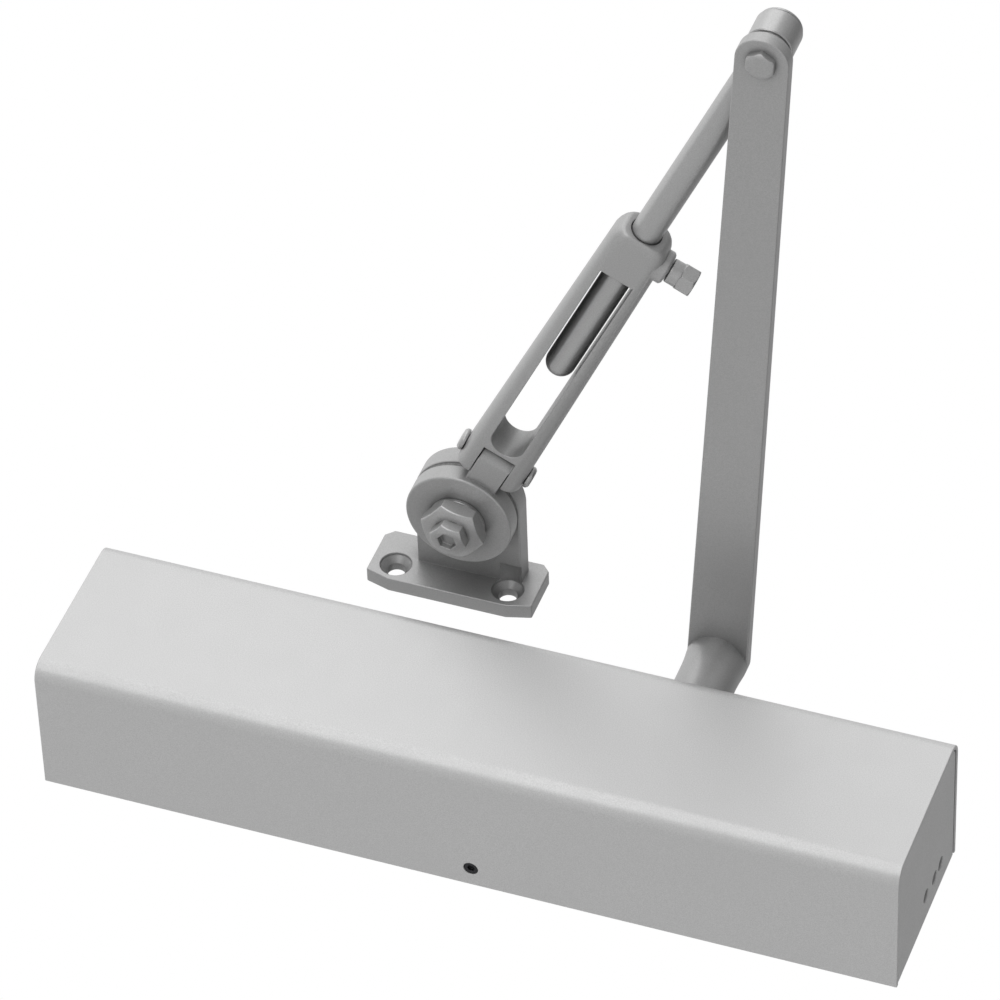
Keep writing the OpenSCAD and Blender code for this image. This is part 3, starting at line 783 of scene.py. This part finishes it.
def build_hold_open_knuckle():
    low, high = box_mm("hold_open_knuckle")
    z0, z1 = low.z, low.z + 7.2
    bore_r = PIVOT_R + PIN_GAP
    disc = lathe(soften([(bore_r, z0), (DISC_R, z0), (DISC_R, z1), (bore_r, z1)], 0.8, 4), 128)
    tab_w, tip_r, steep = 11.8, 7.6, 70
    tab_start, rise, tab_low = 12, 20.6, ROD_Z - SOCKET_H / 2
    side = [(tab_start, tab_low)] + arc((TILT_PIN_AT, ROD_Z), tip_r, -steep, steep, 20)
    side += [(rise + 0.2, high.z), (rise, high.z - 0.4), (rise, z1 - 0.6), (tab_start, z1 - 0.6)]
    tab = moved(prism(side, -tab_w / 2, tab_w / 2), swapped((1, 0, 0), (0, 0, 1), (0, -1, 0)))
    pin_bore = rod(TILT_PIN_R + PIN_GAP, -CUTTER_REACH, CUTTER_REACH, 40)
    pin_bore = moved(pin_bore, AT_TILT_PIN @ ALONG_Y)
    made = combined(disc, joined=[eased(tab, 0.5)], removed=[pin_bore])
    add_piece("hold_open_disc", made, "knuckle", ["hold_open_knuckle"], "arm_paint", 0, ALONG_FOREARM)


def build_shoe_stack():
    bore_r = PIVOT_R + PIN_GAP
    for name, node, slot, ease in (("nut_washer", "knuckle_washer", "hardware", 0.35),
                                   ("friction_ring", "friction_disc", "friction_lining", 0.2)):
        low, high = box_mm(node)
        r = (high.x - low.x) / 2
        ring = soften([(bore_r, low.z), (r, low.z), (r, high.z), (bore_r, high.z)], ease)
        add_piece(name, lathe(ring, 128), "shoe_body", [node], slot, 0, AT_SHOE)
    low, high = box_mm("tension_nut")
    nut_low, nut_high = low.z - SPARE, high.z + SPARE
    nut = prism(polygon(20.6, 6, 12), low.z, high.z)
    crown = lathe([(0, nut_low), (10.0, nut_low), (12.2, low.z + 1.5), (12.2, high.z - 0.9),
                   (10.6, nut_high), (0, nut_high)])
    bore = rod(PIVOT_R, low.z - 1, high.z + 1, 64)
    nut = combined(nut, common=[crown], removed=[bore])
    add_piece("tension_hex_nut", nut, "shoe_body", ["tension_nut"], "hardware", 0.3, AT_SHOE)


def build_pivot_bolt():
    low, high = box_mm("pivot_bolt")
    tip_low, tip_high = low.z, low.z + 4.2
    crown_r = 6.95
    tip = prism(polygon(12, 6, 12), tip_low, tip_high + 0.4)
    crown = lathe([
        (0, tip_low - SPARE), (5.6, tip_low - SPARE), (crown_r, tip_low + 1.0), (crown_r, tip_high + 1),
        (0, tip_high + 1)])
    key_hole = prism(polygon(6, 6, 12), tip_low - 1, tip_low + 2.2)
    tip = combined(tip, common=[crown], removed=[key_hole])
    head_low, head_high = high.z - 5, high.z
    cap_r = 10
    head = prism(polygon(17), head_low, head_high)
    cap = lathe([
        (0, head_low - SPARE), (8.2, head_low - SPARE), (cap_r, head_low + 0.6), (cap_r, head_high - 1.3),
        (8.1, head_high + SPARE), (0, head_high + SPARE)])
    head = combined(head, common=[cap])
    shank = rod(PIVOT_R, tip_high - 0.4, head_low + 0.5, 64)
    bolt = combined(shank, joined=[tip, head])
    add_piece("pivot_hex_bolt", bolt, "shoe_body", ["pivot_bolt"], "hardware", 0.25, AT_SHOE)


def plate_holes(front, back):
    """Cutters for the two countersunk screw holes of the plate, from its front to its back."""
    mount = next(m for m in frame["record"]["mounts"] if m["name"] == "shoe_bolts")
    centre_x, hole_z = mount["pos_m"][0] / MM - SHOE.x, mount["pos_m"][2] / MM
    spacing, hole_r = mount["dims"]["spacing_x_mm"], mount["dims"]["hole_r_mm"]
    sunk_r, room_r, room_start = hole_r + 2.2, hole_r + 2.5, front - 8
    section = [
        (0, room_start), (room_r, room_start), (room_r, front - SPARE), (sunk_r, front + 0.4),
        (sunk_r, front + 0.8), (hole_r, front + 3.0), (hole_r, back + 1), (0, back + 1)]
    places = [centre_x + side * spacing / 2 for side in (-1, 1)]
    return [moved(lathe(section, 48), at(x, 0, hole_z) @ ALONG_Y) for x in places]


def build_shoe():
    low, high = box_mm("shoe")
    low -= Vector((SHOE.x, SHOE.y, 0))
    high -= Vector((SHOE.x, SHOE.y, 0))
    z0 = box_mm("friction_disc")[1].z
    z1 = z0 + 8
    back = high.y
    front = back - 6
    ease = 0.7
    disc = lathe(soften([(PIVOT_R, z0), (DISC_R, z0), (DISC_R, z1), (PIVOT_R, z1)], ease, 4), 128)
    half = DISC_R - 0.04
    section = soften([(half, z0), (half, z1), (-half, z1), (-half, z0)], ease, 4)
    neck = moved(prism([(z, x) for x, z in section], 0, back - 2), ALONG_Y)
    neck = combined(neck, removed=[rod(PIVOT_R + 1.5, z0 - 1, z1 + 1, 64)])
    cut_x, cut_z, trim = 9.0, 2.5, 3.0
    outline = [
        (low.x, low.z + cut_z), (low.x + cut_x, low.z), (high.x - cut_x, low.z), (high.x, low.z + cut_z),
        (high.x, high.z - trim), (high.x - trim, high.z), (low.x + trim, high.z), (low.x, high.z - trim)]
    plate = eased(prism([(z, x) for x, z in outline], front, back), 0.5)
    made = combined(disc, joined=[neck, moved(plate, ALONG_Y)], removed=plate_holes(front, back))
    add_piece("shoe_bracket", made, "shoe_body", ["shoe"], "arm_paint", 0, AT_SHOE)


# ---------------------------------------------------------------- spring


def build_spring():
    """A round-wire coil with closed ends, riding rigidly on the housing."""
    low, high = box_mm("spring")
    wire_r = 2.4
    mean_r = (high.y - low.y) / 2 - wire_r
    middle = (low + high) / 2
    turns, steps, sides = 10, 40, 12
    closed = 2 * wire_r
    pitch = (high.x - low.x - 2 * wire_r - 2 * closed) / (turns - 2)
    around = [2 * math.pi * k / sides for k in range(sides)]
    rings = []
    for i in range(turns * steps + 1):
        t = i / steps
        first, open_turns, last = min(t, 1), min(max(t - 1, 0), turns - 2), max(t - turns + 1, 0)
        x = low.x + wire_r + closed * first + pitch * open_turns + closed * last
        turned = 2 * math.pi * t
        ring = []
        for b in around:
            reach = mean_r + wire_r * math.cos(b)
            ring.append((x + wire_r * math.sin(b), middle.y + reach * math.cos(turned),
                         middle.z + reach * math.sin(turned)))
        rings.append(ring)
    coil = add_piece("coil_spring", loft(rings), "housing", ["spring"], "spring_steel")
    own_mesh(coil)


# ---------------------------------------------------------------- the object


def add_floor():
    floor = bpy.data.objects.new("floor", bpy.data.meshes.new("floor"))
    corners = [(x * FLOOR_HALF, y * FLOOR_HALF, FLOOR_Z) for x, y in ((-1, -1), (1, -1), (1, 1), (-1, 1))]
    floor.data.from_pydata(corners, [], [(0, 1, 2, 3)])
    bpy.context.scene.collection.objects.link(floor)
    pale = Shader("pale_floor", (0.86, 0.86, 0.86), 0.0, 0.8)
    pale.set("Roughness", pale.between(pale.noise(4, 3), 0.75, 0.85))
    floor.data.materials.append(pale.material)


def finish_nodes():
    """Gives every CAD node the finish that the record names for it."""
    for row in frame["record"]["subparts"]:
        finishes = NODES[row["node"]].data.materials
        finishes.clear()
        finishes.append(MATERIALS[row["material_slot"]])


add_camera()
add_world()
add_lamps()
add_floor()
finish_nodes()
build_cover()
build_cover_ends()
build_main_arm()
build_arm_screw()
build_elbow()
build_forearm_rod()
build_socket()
build_tilt_pin()
build_clamp_screw()
build_hold_open_knuckle()
build_shoe_stack()
build_pivot_bolt()
build_shoe()
build_spring()

bpy.context.scene.view_settings.view_transform = "Standard"
